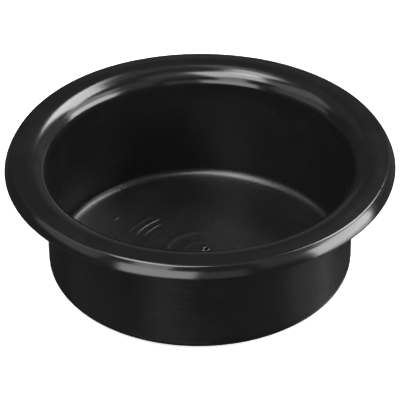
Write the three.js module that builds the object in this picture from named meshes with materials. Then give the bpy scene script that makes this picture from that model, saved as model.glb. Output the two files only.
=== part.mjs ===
// Round mortar mixing tub, moulded in one piece: a shallow bowl with a near-upright wall
// and a broad rolled brim that turns down at its edge and leaves an open hand gutter under it.
// Millimetres, +Z up, origin on the tub's axis, at the level of the ring that it rests on.

import * as THREE from 'three';

// Driving dimensions.
const brimRadius = 300;          // outer edge of the rolled brim
const brimHeight = 200;          // height of the brim's highest line
const crestRadius = 269;         // radius of that line
const crestEase = 3;             // the crest eases into the brim's cone over twice this
const brimSlope = 0.089;         // fall of that cone for each millimetre outward
const shoulderRadius = 5;        // the cone rolls over on this radius
const shoulderTurn = 52;         // until it slopes this many degrees
const lipRadius = 49.6;          // the lip below bends on more gently
const lipTurn = 72;              // and ends at this slope
const throatRadius = 238;        // outside of the wall where it starts to flare
const throatHeight = 169;
const footRadius = 236;          // outside of the wall above the foot corner
const footCorner = 18;           // outside corner between wall and foot ring
const footRingWidth = 18;        // flat ring under the edge of the floor
const floorRise = 8.5;           // how far the floor bulges up in the middle
const floorFillet = 14;          // inside corner between floor and wall
const thickness = 4.6;           // wall, floor and brim

// Marks moulded in the floor: two low rings, and the gate stub a little beside the middle.
const floorRings = [
    { radius: 55.5, width: 18, height: 0.8 },
    { radius: 28, width: 12, height: 0.4 },
];
const gateRadius = 5.5;
const gateHeight = 5;
const gatePlace = [8, 9];        // from the axis, to the right and to the back

const segments = 72;             // steps round the axis

const plastic = new THREE.MeshStandardMaterial({
    name: 'black_polyethylene',
    color: 0x121213,
    roughness: 0.38,
    metalness: 0,
});

// Points on a quarter ellipse. One that sets off 'upright' arrives level,
// and one that sets off 'level' arrives upright.
function quarter(setsOff, [r0, z0], [r1, z1], steps) {
    return Array.from({ length: steps + 1 }, (_, i) => {
        const turn = (i / steps) * Math.PI / 2;
        const late = 1 - Math.cos(turn);
        const early = Math.sin(turn);
        const [across, up] = setsOff === 'upright' ? [late, early] : [early, late];
        return [r0 + (r1 - r0) * across, z0 + (z1 - z0) * up];
    });
}

// Height of the underside inside the foot ring: level at its edge and in the middle.
function domeHeight(radius) {
    const edge = footRadius - footCorner - footRingWidth;
    const share = Math.min(radius / edge, 1);
    return floorRise * (1 - share ** 2) ** 2;
}

function undersideOutline() {
    const edge = footRadius - footCorner - footRingWidth;
    return [0, 0.3, 0.5, 0.7, 0.85, 1].map((share) => [edge * share, domeHeight(edge * share)]);
}

// The brim's two bends, placed so that the lip ends at the brim's radius.
function brimBends() {
    const [slope, shoulderEnd, lipEnd] = [
        Math.atan(brimSlope),
        THREE.MathUtils.degToRad(shoulderTurn),
        THREE.MathUtils.degToRad(lipTurn),
    ];
    const apart = lipRadius - shoulderRadius;
    const lipCentre = brimRadius - lipRadius * Math.sin(lipEnd);
    const shoulderCentre = lipCentre + apart * Math.sin(shoulderEnd);
    const coneEnd = shoulderCentre + shoulderRadius * Math.sin(slope);
    const coneEndHeight = brimHeight - brimSlope * (coneEnd - crestRadius - crestEase);
    const shoulderLevel = coneEndHeight - shoulderRadius * Math.cos(slope);
    const lipLevel = shoulderLevel - apart * Math.cos(shoulderEnd);
    return {
        shoulder: { centre: [shoulderCentre, shoulderLevel], radius: shoulderRadius, from: slope, to: shoulderEnd },
        lip: { centre: [lipCentre, lipLevel], radius: lipRadius, from: shoulderEnd, to: lipEnd },
    };
}

// Points along a bend, on the face that lies the inset below the outer one.
function bendPoints({ centre, radius, from, to }, inset, steps) {
    return Array.from({ length: steps + 1 }, (_, i) => {
        const turn = from + (to - from) * (i / steps);
        return [centre[0] + (radius - inset) * Math.sin(turn), centre[1] + (radius - inset) * Math.cos(turn)];
    });
}

// One face of the brim from its crest outward: the crest, a gentle cone, the shoulder, the lip.
function brimOutline(inset, shoulderSteps) {
    const { shoulder, lip } = brimBends();
    return [
        [crestRadius, brimHeight - inset],
        [crestRadius + 2 * crestEase, brimHeight - inset - brimSlope * crestEase],
        ...bendPoints(shoulder, inset, shoulderSteps),
        ...bendPoints(lip, inset, 2).slice(1),
    ];
}

// The lowest point of the lip's rounded end.
function lipNose() {
    const [radius, height] = bendPoints(brimBends().lip, thickness / 2, 1)[1];
    return [radius, height - thickness / 2];
}

// The outside of the wall, the gutter's roof and the inside of the lip.
function outsideOutline() {
    return [
        ...quarter('level', [footRadius - footCorner, 0], [footRadius, footCorner], 5),
        ...quarter('upright', [throatRadius, throatHeight], [crestRadius, brimHeight - thickness], 5),
        ...brimOutline(thickness, 3).slice(1),
        lipNose(),
    ];
}

// The lip's outer face, the top of the brim and the inside of the wall.
function insideOutline() {
    const innerThroat = throatRadius - thickness;
    const innerFoot = footRadius - thickness;
    const filletTop = [innerFoot, thickness + floorFillet];
    const filletFoot = [innerFoot - floorFillet, thickness];
    return [
        ...brimOutline(0, 5).reverse(),
        ...quarter('level', [crestRadius, brimHeight], [innerThroat, throatHeight], 7).slice(1),
        ...quarter('upright', filletTop, filletFoot, 4),
    ];
}

// The floor from its edge to the axis, with the rings and the gate stub standing on it.
// The stub is drawn on the axis here, and takes its place once the outline is turned.
function floorOutline() {
    const level = (radius, above = 0) => [radius, thickness + domeHeight(radius) + above];
    const rings = floorRings.flatMap(({ radius, width, height }) => [
        level(radius + width / 2),
        level(radius, height),
        level(radius - width / 2),
    ]);
    return [
        ...[180, 150, 115, 80].map((radius) => level(radius)),
        ...rings,
        level(gateRadius + 1),
        level(gateRadius, gateHeight - 1),
        level(gateRadius - 1.5, gateHeight),
        level(0, gateHeight),
    ];
}

function placeGate(points) {
    for (let i = 0; i < points.count; i += 1) {
        const onFloor = points.getZ(i) > thickness + floorRise - 1;
        const atAxis = Math.hypot(points.getX(i), points.getY(i)) < gateRadius + 2;
        if (onFloor && atAxis) {
            points.setX(i, points.getX(i) + gatePlace[0]);
            points.setY(i, points.getY(i) + gatePlace[1]);
        }
    }
}

function tubShell() {
    const outline = [
        ...undersideOutline(),
        ...outsideOutline(),
        ...insideOutline(),
        ...floorOutline(),
    ];
    const profile = outline.map(([radius, height]) => new THREE.Vector2(radius, height));
    const geometry = new THREE.LatheGeometry(profile, segments);
    geometry.rotateX(Math.PI / 2);
    placeGate(geometry.attributes.position);
    const mesh = new THREE.Mesh(geometry, plastic);
    mesh.name = 'tub_shell';
    return mesh;
}

const group = new THREE.Group();
group.add(tubShell());

export default group;
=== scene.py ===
import math

import bpy
from mathutils import Matrix, Vector


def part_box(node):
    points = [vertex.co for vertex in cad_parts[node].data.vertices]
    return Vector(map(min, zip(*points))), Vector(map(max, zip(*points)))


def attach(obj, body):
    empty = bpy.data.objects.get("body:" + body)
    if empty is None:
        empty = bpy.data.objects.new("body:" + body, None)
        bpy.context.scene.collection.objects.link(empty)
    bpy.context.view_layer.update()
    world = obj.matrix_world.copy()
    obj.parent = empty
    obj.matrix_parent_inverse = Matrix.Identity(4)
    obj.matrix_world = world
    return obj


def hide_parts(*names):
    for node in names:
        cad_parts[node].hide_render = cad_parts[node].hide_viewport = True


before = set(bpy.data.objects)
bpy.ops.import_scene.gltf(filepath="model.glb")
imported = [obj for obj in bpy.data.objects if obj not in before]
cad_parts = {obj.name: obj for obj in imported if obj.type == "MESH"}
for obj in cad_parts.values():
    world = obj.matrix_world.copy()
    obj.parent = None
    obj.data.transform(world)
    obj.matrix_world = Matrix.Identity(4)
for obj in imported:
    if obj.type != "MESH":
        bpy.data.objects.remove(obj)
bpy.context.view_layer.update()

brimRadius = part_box("tub_shell")[1].x
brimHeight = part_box("tub_shell")[1].z
print("frame loaded: brim", round(brimRadius, 4), "m in radius and", round(brimHeight, 4), "m high")


def sumRule(operation, swapped=False):
    def rule(self, other):
        pair = (other, self) if swapped else (self, other)
        return self.net.maths(operation, *pair)
    return rule


class Wire:
    # a number on its way through a node tree, so that trees can be written as sums
    def __init__(self, net, socket):
        self.net = net
        self.socket = socket

    __add__ = sumRule("ADD")
    __sub__ = sumRule("SUBTRACT")
    __mul__ = sumRule("MULTIPLY")
    __truediv__ = sumRule("DIVIDE")
    __radd__ = sumRule("ADD", swapped=True)
    __rsub__ = sumRule("SUBTRACT", swapped=True)
    __rmul__ = sumRule("MULTIPLY", swapped=True)
    __rtruediv__ = sumRule("DIVIDE", swapped=True)


class Net:
    # one node tree, wired from Python
    def __init__(self, tree):
        self.tree = tree

    def add(self, kind, settings=None, values=None, out=0):
        node = self.tree.nodes.new(kind)
        for name, value in (settings or {}).items():
            setattr(node, name, value)
        for name, value in (values or {}).items():
            self.feed(node.inputs[name], value)
        return Wire(self, node.outputs[out]) if len(node.outputs) else node

    def feed(self, socket, value):
        if isinstance(value, Wire):
            self.tree.links.new(value.socket, socket)
        else:
            socket.default_value = value

    def maths(self, operation, *values):
        return self.add("ShaderNodeMath", {"operation": operation}, dict(enumerate(values)))

    def band(self, value, low, high, new=(0.0, 1.0)):
        # value between low and high, smoothed and carried onto new
        values = {
            "Value": value, "From Min": low, "From Max": high, "To Min": new[0], "To Max": new[1],
        }
        return self.add("ShaderNodeMapRange", {"interpolation_type": "SMOOTHSTEP"}, values)

    def split(self, vector):
        node = self.add("ShaderNodeSeparateXYZ", None, {0: vector}).socket.node
        return [Wire(self, output) for output in node.outputs]

    def join(self, x, y, z):
        return self.add("ShaderNodeCombineXYZ", None, {0: x, 1: y, 2: z})

    def noise(self, place, scale, detail=1.0, roughness=0.5):
        values = {"Vector": place, "Scale": scale, "Detail": detail, "Roughness": roughness}
        return self.add("ShaderNodeTexNoise", {"noise_dimensions": "3D"}, values, "Fac")


# the tub's section, in metres: radii from the axis and heights above what it rests on
tubSection = {
    "thickness": 0.0046,
    "throatRadius": 0.238,      # outside of the wall where it starts to flare
    "throatHeight": 0.169,
    "crestRadius": 0.269,       # the brim's highest line
    "crestEase": 0.003,         # the crest eases into the brim's cone over twice this
    "brimSlope": 0.089,         # fall of that cone for each metre outward
    "shoulderRadius": 0.005,    # the cone rolls over on this radius
    "shoulderTurn": 52,         # until it slopes this many degrees
    "lipRadius": 0.0496,        # the lip below bends on more gently
    "lipTurn": 72,              # and ends at this slope
    "footRadius": 0.236,
    "footCorner": 0.018,
    "footRingWidth": 0.018,
    "floorRise": 0.0085,
    "floorFillet": 0.014,
}

# how many steps each stretch of the section is cut into
tubSteps = {
    "underside": 24,
    "footCorner": 9,
    "wall": 18,
    "flare": 16,
    "crest": 4,
    "cone": 5,
    "gutterBends": 4,
    "brimBends": 8,
    "lipEdge": 8,
    "bell": 22,
    "floorFillet": 10,
    "plainFloor": 9,
    "markedFloor": 104,         # fine enough for the moulded marks
}


def between(start, end, across, up):
    # the point at these shares of the way across and up
    return (start[0] + (end[0] - start[0]) * across, start[1] + (end[1] - start[1]) * up)


def quarter(setsOff, start, end, steps):
    # a quarter ellipse that sets off upright or level, with both its ends
    points = []
    for i in range(steps + 1):
        turn = i / steps * math.pi / 2
        late = 1 - math.cos(turn)
        early = math.sin(turn)
        across, up = (late, early) if setsOff == "upright" else (early, late)
        points.append(between(start, end, across, up))
    return points


def straight(start, end, steps):
    # the points between two ends, without them
    return [between(start, end, i / steps, i / steps) for i in range(1, steps)]


def halfRound(start, end, steps):
    # a half circle that hangs below two points, with both its ends
    middle = ((start[0] + end[0]) / 2, (start[1] + end[1]) / 2)
    across = start[0] - middle[0]
    up = start[1] - middle[1]
    turns = [i / steps * math.pi for i in range(steps + 1)]
    pairs = [(math.cos(t), math.sin(t)) for t in turns]
    return [(middle[0] + across * c - up * s, middle[1] + across * s + up * c) for c, s in pairs]


def domeHeight(radius, s=tubSection):
    # how far the floor bulges up
    edge = s["footRadius"] - s["footCorner"] - s["footRingWidth"]
    share = min(radius / edge, 1.0)
    return s["floorRise"] * (1 - share ** 2) ** 2


def bend(centre, radius, start, end, steps):
    # points on an arc, between two slopes
    turns = [start + (end - start) * i / steps for i in range(steps + 1)]
    return [(centre[0] + radius * math.sin(t), centre[1] + radius * math.cos(t)) for t in turns]


def brimOutline(inset, steps, s=tubSection):
    # one face of the brim, inset from its outer one: crest, gentle cone, shoulder, lip
    slope = math.atan(s["brimSlope"])
    shoulderEnd = math.radians(s["shoulderTurn"])
    lipEnd = math.radians(s["lipTurn"])
    apart = s["lipRadius"] - s["shoulderRadius"]
    lipCentre = brimRadius - s["lipRadius"] * math.sin(lipEnd)
    shoulderCentre = lipCentre + apart * math.sin(shoulderEnd)
    coneEnd = shoulderCentre + s["shoulderRadius"] * math.sin(slope)
    coneEndHeight = brimHeight - s["brimSlope"] * (coneEnd - s["crestRadius"] - s["crestEase"])
    shoulderLevel = coneEndHeight - s["shoulderRadius"] * math.cos(slope)
    lipLevel = shoulderLevel - apart * math.cos(shoulderEnd)

    ease = s["crestEase"]
    crestSteps = tubSteps["crest"]
    crest = []
    for i in range(crestSteps + 1):
        out = 2 * ease * i / crestSteps
        level = brimHeight - inset - s["brimSlope"] * out ** 2 / (4 * ease)
        crest.append((s["crestRadius"] + out, level))
    shoulderMiddle = (shoulderCentre, shoulderLevel)
    lipMiddle = (lipCentre, lipLevel)
    shoulder = bend(shoulderMiddle, s["shoulderRadius"] - inset, slope, shoulderEnd, steps)
    lip = bend(lipMiddle, s["lipRadius"] - inset, shoulderEnd, lipEnd, steps)
    return crest + straight(crest[-1], shoulder[0], tubSteps["cone"]) + shoulder + lip[1:]


def wallOutline(s=tubSection, n=tubSteps):
    # from the axis under the floor, round the brim, to the edge of the floor inside
    t = s["thickness"]
    ring = s["footRadius"] - s["footCorner"]
    ringInner = ring - s["footRingWidth"]
    innerFoot = s["footRadius"] - t
    throat = (s["throatRadius"], s["throatHeight"])
    crest = (s["crestRadius"], brimHeight)
    underRadii = [ringInner * i / n["underside"] for i in range(n["underside"] + 1)]
    under = [(r, domeHeight(r)) for r in underRadii]
    corner = quarter("level", (ring, 0), (s["footRadius"], s["footCorner"]), n["footCorner"])
    flare = quarter("upright", throat, (crest[0], brimHeight - t), n["flare"])
    gutter = brimOutline(t, n["gutterBends"])
    brim = brimOutline(0, n["brimBends"])[::-1]
    lipEdge = halfRound(gutter[-1], brim[0], n["lipEdge"])[1:-1]
    bell = quarter("level", crest, (s["throatRadius"] - t, s["throatHeight"]), n["bell"])
    filletTop = (innerFoot, t + s["floorFillet"])
    filletFoot = (innerFoot - s["floorFillet"], t)
    fillet = quarter("upright", filletTop, filletFoot, n["floorFillet"])
    return (
        under + corner + straight(corner[-1], throat, n["wall"])
        + flare + gutter[1:] + lipEdge + brim
        + bell[1:] + straight(bell[-1], fillet[0], n["wall"]) + fillet
    )


def outlineObject(outline):
    mesh = bpy.data.meshes.new("tubOutline")
    points = [(r, 0.0, z) for r, z in outline]
    mesh.from_pydata(points, [(i, i + 1) for i in range(len(points) - 1)], [])
    line = bpy.data.objects.new("tubOutline", mesh)
    bpy.context.scene.collection.objects.link(line)
    return line


# what the mould left on the floor, in metres and degrees
floorMarks = {
    "rings": [
        {"radius": 0.0555, "width": 0.018, "height": 0.0008},
        {"radius": 0.028, "width": 0.012, "height": 0.0004},
    ],
    # the gate stub: its place to the right and to the back of the axis
    "gate": {"place": (0.008, 0.009), "radius": 0.0062, "height": 0.0050},
    "flatTop": 0.55,            # share of the stub's radius that is flat
    "fullLength": 0.6,          # share of an arc's reach that has its full height
    "edge": 0.176,              # every mark lies within this radius
    # short arcs left by the tool that turned the mould: radius, middle and reach in degrees
    "arcs": [
        {"radius": 0.130, "middle": 138, "reach": 16, "width": 0.0060, "height": 0.0008},
        {"radius": 0.1165, "middle": 137, "reach": 18, "width": 0.0064, "height": 0.0011},
        {"radius": 0.103, "middle": 139, "reach": 15, "width": 0.0064, "height": 0.0009},
        {"radius": 0.091, "middle": 142, "reach": 10, "width": 0.0060, "height": 0.0003},
        {"radius": 0.169, "middle": 142, "reach": 3, "width": 0.0070, "height": 0.0010},
    ],
}


def floorOutline(s=tubSection, n=tubSteps):
    # the floor from its edge to the axis, with close points where the moulded marks are
    edge = s["footRadius"] - s["thickness"] - s["floorFillet"]
    marksEdge = floorMarks["edge"]
    plain = straight((edge, 0), (marksEdge, 0), n["plainFloor"])
    marked = straight((marksEdge, 0), (0, 0), n["markedFloor"])
    radii = [point[0] for point in plain + [(marksEdge, 0)] + marked + [(0, 0)]]
    return [(r, s["thickness"] + domeHeight(r)) for r in radii]


def floorRelief(net, radius, angle, east, north, marks=floorMarks):
    # height added to the floor at a radius and an angle
    relief = 0.0
    for ring in marks["rings"]:
        off = net.maths("ABSOLUTE", radius - ring["radius"])
        relief = relief + net.band(off, 0.0, ring["width"] / 2, (ring["height"], 0.0))
    gate = marks["gate"]
    toRight = radius * east - gate["place"][0]
    toBack = radius * north - gate["place"][1]
    fromGate = net.maths("SQRT", toRight * toRight + toBack * toBack)
    flat = gate["radius"] * marks["flatTop"]
    relief = relief + net.band(fromGate, flat, gate["radius"], (gate["height"], 0.0))
    for arc in marks["arcs"]:
        off = net.maths("ABSOLUTE", radius - arc["radius"])
        aside = net.maths("ABSOLUTE", angle - math.radians(arc["middle"]))
        across = net.band(off, 0.0, arc["width"] / 2, (1.0, 0.0))
        reach = math.radians(arc["reach"])
        along = net.band(aside, reach * marks["fullLength"], reach, (arc["height"], 0.0))
        relief = relief + across * along
    return relief


# how the turned shell departs from a true one, in metres and radians
shellMake = {
    "Steps Round": 320,
    "Lean": 0.0011,             # the brim sits a little to the right of the foot
    "Tilt": 0.0005,             # and a little higher at the back
    "Three Lobes": 0.0003,
    "Wave": 0.0008,             # its crest rises and falls three times on its way round
    "Wave Turn": 1.26,
    "Unevenness": 0.0006,
    "Patches Round": 2.6,       # how finely the unevenness varies round the tub
    "Patches Up": 4.0,          # and up it
    "True Radius": 0.20,        # the floor stays true up to this radius
    "Giving Radius": 0.235,     # and from this one the shell gives in full
    "True Height": 0.02,        # above this height it gives more and more
    "Weld": 0.00002,            # points closer than this become one
}


def latheTree(material, floorRows):
    tree = bpy.data.node_groups.new("turnTub", "GeometryNodeTree")
    face = tree.interface
    face.new_socket("Outline", in_out="INPUT", socket_type="NodeSocketObject")
    face.new_socket("Steps Round", in_out="INPUT", socket_type="NodeSocketInt")
    for name in list(shellMake)[1:]:
        face.new_socket(name, in_out="INPUT", socket_type="NodeSocketFloat")
    face.new_socket("Material", in_out="INPUT", socket_type="NodeSocketMaterial")
    face.new_socket("Shell", in_out="OUTPUT", socket_type="NodeSocketGeometry")
    net = Net(tree)
    entry = tree.nodes.new("NodeGroupInput")
    given = {socket.name: Wire(net, socket) for socket in entry.outputs}

    # a flat grid, one row for each point of the outline, rolled round the axis
    section = net.add("GeometryNodeObjectInfo", None, {"Object": given["Outline"]}, "Geometry")
    rows = net.add("GeometryNodeAttributeDomainSize", {"component": "MESH"}, {
        0: section,
    }, "Point Count")
    grid = net.add("GeometryNodeMeshGrid", None, {
        "Size X": 1.0, "Size Y": 1.0, "Vertices X": rows, "Vertices Y": given["Steps Round"] + 1,
    }, "Mesh")
    across, along, _ = net.split(net.add("GeometryNodeInputPosition"))
    row = net.maths("ROUND", (across + 0.5) * (rows - 1))
    angle = along * (2 * math.pi)
    east = net.maths("COSINE", angle)
    north = net.maths("SINE", angle)
    sampled = net.add("GeometryNodeSampleIndex", {"data_type": "FLOAT_VECTOR"}, {
        "Geometry": section, "Value": net.add("GeometryNodeInputPosition"), "Index": row,
    })
    radius, _, height = net.split(sampled)

    onFloor = net.maths("GREATER_THAN", row, rows - floorRows - 0.5)
    height = height + floorRelief(net, radius, angle, east, north) * onFloor

    # the foot stays true and the brim gives
    onWall = net.band(radius, given["True Radius"], given["Giving Radius"])
    give = net.band(height, given["True Height"], brimHeight) * onWall
    patchPlace = net.join(east, north, height * given["Patches Up"])
    uneven = net.noise(patchPlace, given["Patches Round"]) - 0.5
    lobes = net.maths("COSINE", angle * 3) * given["Three Lobes"]
    wave = net.maths("COSINE", angle * 3 - given["Wave Turn"]) * given["Wave"]
    swell = radius + (lobes + uneven * given["Unevenness"]) * give
    lift = (wave + north * given["Tilt"] + uneven * given["Unevenness"]) * give
    turned = net.join(swell * east + given["Lean"] * give, swell * north, height + lift)

    shell = net.add("GeometryNodeSetPosition", None, {"Geometry": grid, "Position": turned})
    shell = net.add("GeometryNodeMergeByDistance", None, {
        "Geometry": shell, "Distance": given["Weld"],
    })
    shell = net.add("GeometryNodeSetShadeSmooth", None, {"Geometry": shell})
    shell = net.add("GeometryNodeRealizeInstances", None, {"Geometry": shell})
    shell = net.add("GeometryNodeSetMaterial", None, {
        "Geometry": shell, "Material": given["Material"],
    })
    leave = tree.nodes.new("NodeGroupOutput")
    net.feed(leave.inputs["Shell"], shell)
    return tree


def plainMesh(maker, name):
    # the modifier's result as a mesh of its own
    bpy.context.view_layer.update()
    evaluated = maker.evaluated_get(bpy.context.evaluated_depsgraph_get())
    mesh = bpy.data.meshes.new_from_object(evaluated)
    piece = bpy.data.objects.new(name, mesh)
    bpy.context.scene.collection.objects.link(piece)
    bpy.data.objects.remove(maker)
    return piece


def makeShell(material):
    floor = floorOutline()
    outline = outlineObject(wallOutline() + floor)
    maker = bpy.data.objects.new("tubMaker", bpy.data.meshes.new("tubMaker"))
    bpy.context.scene.collection.objects.link(maker)
    turning = maker.modifiers.new("turnTub", "NODES")
    turning.node_group = latheTree(material, len(floor))
    entries = turning.node_group.interface.items_tree
    sockets = {entry.name: entry.identifier for entry in entries if entry.in_out == "INPUT"}
    turning[sockets["Outline"]] = outline
    turning[sockets["Material"]] = material
    for name, value in shellMake.items():
        turning[sockets[name]] = value
    shell = plainMesh(maker, "tub")
    bpy.data.objects.remove(outline)
    print("tub turned:", len(shell.data.vertices), "points,", len(shell.data.polygons), "faces")
    return shell


plasticLook = {
    "base": (0.006, 0.006, 0.0063, 1.0),
    "scuffed": (0.016, 0.016, 0.0167, 1.0),
    "smooth": 0.15,             # the polished brim
    "dull": 0.27,               # wall and floor
    "groovePitch": 0.0012,
    "wallGrooves": 0.00020,     # depth of the turning marks on wall and floor
    "brimGrooves": 0.00004,     # and on the polished brim
    "grooveWander": 1.5,        # how much one turning mark varies on its way round
    "grainSize": 0.0016,
    "grainDepth": 0.00001,
    "cloudScale": 14.0,         # patches of wear
    "wornFrom": (0.45, 0.75),   # where in a patch the wear sets in and is full
    "worn": 0.2,                # how far it goes to the scuffed colour
    "roughSpread": 0.08,        # how much the patches vary the gloss
    "polished": (0.140, 0.175), # heights between which the wall turns to polished brim
}


def blackPolyethylene(look=plasticLook):
    material = bpy.data.materials.new("blackPolyethylene")
    material.use_nodes = True
    material.node_tree.nodes.clear()
    net = Net(material.node_tree)
    place = net.add("ShaderNodeTexCoord", None, None, "Object")
    x, y, z = net.split(place)
    radius = net.maths("SQRT", x * x + y * y)
    path = radius + z                            # grows along the section, from axis to brim
    turnX = x / (radius + 0.001)
    turnY = y / (radius + 0.001)

    # turning marks of the mould: lines that run round the tub
    wander = look["grooveWander"]
    groovePlace = net.join(turnX * wander, turnY * wander, path / look["groovePitch"])
    grooves = net.noise(groovePlace, 1.0, 2.0, 0.6)
    onBrim = net.band(z, *look["polished"])
    grooveDepth = look["wallGrooves"] + (look["brimGrooves"] - look["wallGrooves"]) * onBrim
    grain = net.noise(place, 1.0 / look["grainSize"])
    cloud = net.noise(place, look["cloudScale"], 3.0, 0.6)
    relief = grooves * grooveDepth + grain * look["grainDepth"]
    bump = net.add("ShaderNodeBump", None, {"Height": relief, "Strength": 1.0, "Distance": 1.0})

    worn = net.band(cloud, *look["wornFrom"]) * look["worn"]
    tint = net.add("ShaderNodeMix", {"data_type": "RGBA"}, {
        0: worn, 6: look["base"], 7: look["scuffed"],
    }, 2)
    evenRough = look["dull"] + (look["smooth"] - look["dull"]) * onBrim
    rough = evenRough + (cloud - 0.5) * look["roughSpread"]
    shader = net.add("ShaderNodeBsdfPrincipled", None, {
        "Base Color": tint, "Roughness": rough, "Normal": bump, "IOR": 1.5,
    })
    net.add("ShaderNodeOutputMaterial", None, {"Surface": shader})
    return material


stageLook = {
    "width": 14.0,
    "below": 0.0005,            # the floor lies this much under the tub's foot
    "shade": 0.86,              # what the eye sees: a pale floor
    "glow": 0.62,
    "reflected": 0.03,          # what the tub's gloss sees: a dark polished table
    "gloss": 0.10,
}


def paleFloor(look=stageLook):
    # pale to the eye, but a dark glossy table in the tub's own reflections
    half = look["width"] / 2
    corners = [(-half, -half, 0), (half, -half, 0), (half, half, 0), (-half, half, 0)]
    mesh = bpy.data.meshes.new("paleFloor")
    mesh.from_pydata(corners, [], [(0, 1, 2, 3)])
    floor = bpy.data.objects.new("paleFloor", mesh)
    bpy.context.scene.collection.objects.link(floor)
    floor.location.z = -look["below"]
    material = bpy.data.materials.new("paleFloor")
    material.use_nodes = True
    material.node_tree.nodes.clear()
    net = Net(material.node_tree)
    matte = net.add("ShaderNodeBsdfDiffuse", None, {"Color": (look["shade"],) * 3 + (1.0,)})
    glow = net.add("ShaderNodeEmission", None, {"Color": (1, 1, 1, 1), "Strength": look["glow"]})
    dim = net.add("ShaderNodeBsdfPrincipled", None, {
        "Base Color": (look["reflected"],) * 3 + (1.0,), "Roughness": look["gloss"],
    })
    seen = net.add("ShaderNodeLightPath", None, None, "Is Camera Ray")
    pale = net.add("ShaderNodeAddShader", None, {0: matte, 1: glow})
    mixed = net.add("ShaderNodeMixShader", None, {0: seen, 1: dim, 2: pale})
    net.add("ShaderNodeOutputMaterial", None, {"Surface": mixed})
    mesh.materials.append(material)


# soft panels round the tub: azimuth clockwise from straight behind it, elevation, and the
# width and height that each one spans as the tub sees it, all in degrees
studio = {
    "ambient": 0.05,            # what the tub gets from the room
    "backdrop": 1.0,            # and what the eye sees behind it
    "away": 5.0,                # metres from the tub to each panel
    # for each panel its azimuth, elevation, width, height and brightness
    "panels": {
        "rightBack": (50, 50, 36, 20, 12.0),
        "rightBackWide": (89, 32, 38, 20, 3.5),
        "rightLow": (97, 11, 42, 24, 10.0),
        "rightFront": (128, 30, 36, 36, 0.35),
        "overhead": (-88, 74, 24, 14, 8.0),
        "overheadBack": (-40, 72, 24, 16, 1.2),
        "leftFrontLow": (-157, 12, 40, 26, 5.0),
        "leftFront": (-153, 36, 18, 22, 3.6),
        "leftFrontHigh": (-146, 62, 34, 26, 9.0),
        "left": (-90, 46, 40, 22, 1.3),
        "leftMiddle": (-100, 22, 44, 22, 0.8),
        "leftBack": (-42, 46, 36, 22, 0.1),
        "backLow": (8, 14, 40, 20, 0.1),
        "backRightLow": (48, 16, 34, 26, 0.2),
        "backTop": (20, 72, 30, 12, 0.3),
        "frontHigh": (170, 62, 44, 24, 0.55),
        "frontLow": (168, 10, 24, 24, 0.5),
    },
}


def hangPanel(name, azimuth, elevation, width, height, brightness, away):
    data = bpy.data.lights.new(name, "AREA")
    data.shape = "RECTANGLE"
    data.size = 2 * away * math.tan(math.radians(width) / 2)
    data.size_y = 2 * away * math.tan(math.radians(height) / 2)
    data.energy = brightness * math.pi * data.size * data.size_y
    lift = math.radians(elevation)
    turn = math.radians(azimuth)
    level = Vector((math.sin(turn), math.cos(turn), 0)) * math.cos(lift)
    toward = level + Vector((0, 0, math.sin(lift)))
    holder = bpy.data.objects.new(name, data)
    bpy.context.scene.collection.objects.link(holder)
    holder.location = Vector((0, 0, brimHeight / 2)) + toward * away
    holder.rotation_euler = toward.to_track_quat("Z", "Y").to_euler()


def lightStudio(plan=studio):
    world = bpy.data.worlds.new("paleRoom")
    bpy.context.scene.world = world
    world.use_nodes = True
    world.node_tree.nodes.clear()
    net = Net(world.node_tree)
    seen = net.add("ShaderNodeLightPath", None, None, "Is Camera Ray")
    strength = plan["ambient"] + (plan["backdrop"] - plan["ambient"]) * seen
    light = net.add("ShaderNodeBackground", None, {"Color": (1, 1, 1, 1), "Strength": strength})
    net.add("ShaderNodeOutputWorld", None, {"Surface": light})
    for name, panel in plan["panels"].items():
        hangPanel(name, *panel, plan["away"])


view = {
    "elevation": 34.93,         # degrees above the floor
    "distance": 15.2,           # in brim radii
    "roll": 0.62,               # degrees
    "aimHeight": 0.09875,       # metres above the floor
    "sensor": 36.0,             # millimetres
    "clipEnd": 100.0,           # metres
    "halfBrim": 0.4836,         # the brim's radius as a share of the view's width
    "right": -0.0012,           # where the tub's middle lies in the view, in shares of its width
    "down": 0.0180,
}


def placeCamera(v=view):
    lift = math.radians(v["elevation"])
    roll = math.radians(v["roll"])
    back = Vector((0, -math.cos(lift), math.sin(lift)))
    across = Vector((1, 0, 0))
    up = Vector((0, math.sin(lift), math.cos(lift)))
    right = across * math.cos(roll) - up * math.sin(roll)
    top = across * math.sin(roll) + up * math.cos(roll)
    width = brimRadius / v["halfBrim"]           # what the view spans at the tub
    target = Vector((0, 0, v["aimHeight"])) + top * v["down"] * width - right * v["right"] * width
    away = v["distance"] * brimRadius
    data = bpy.data.cameras.new("camera")
    data.sensor_width = v["sensor"]
    data.lens = data.sensor_width * away / width
    data.clip_end = v["clipEnd"]
    camera = bpy.data.objects.new("camera", data)
    bpy.context.scene.collection.objects.link(camera)
    turn = Matrix((right, top, back)).transposed().to_4x4()
    camera.matrix_world = Matrix.Translation(target + back * away) @ turn
    bpy.context.scene.camera = camera


placeCamera()
paleFloor()
lightStudio()
bpy.context.scene.view_settings.view_transform = "Standard"
print("camera, floor and lights placed")

tub = makeShell(blackPolyethylene())
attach(tub, "root")
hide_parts("tub_shell")
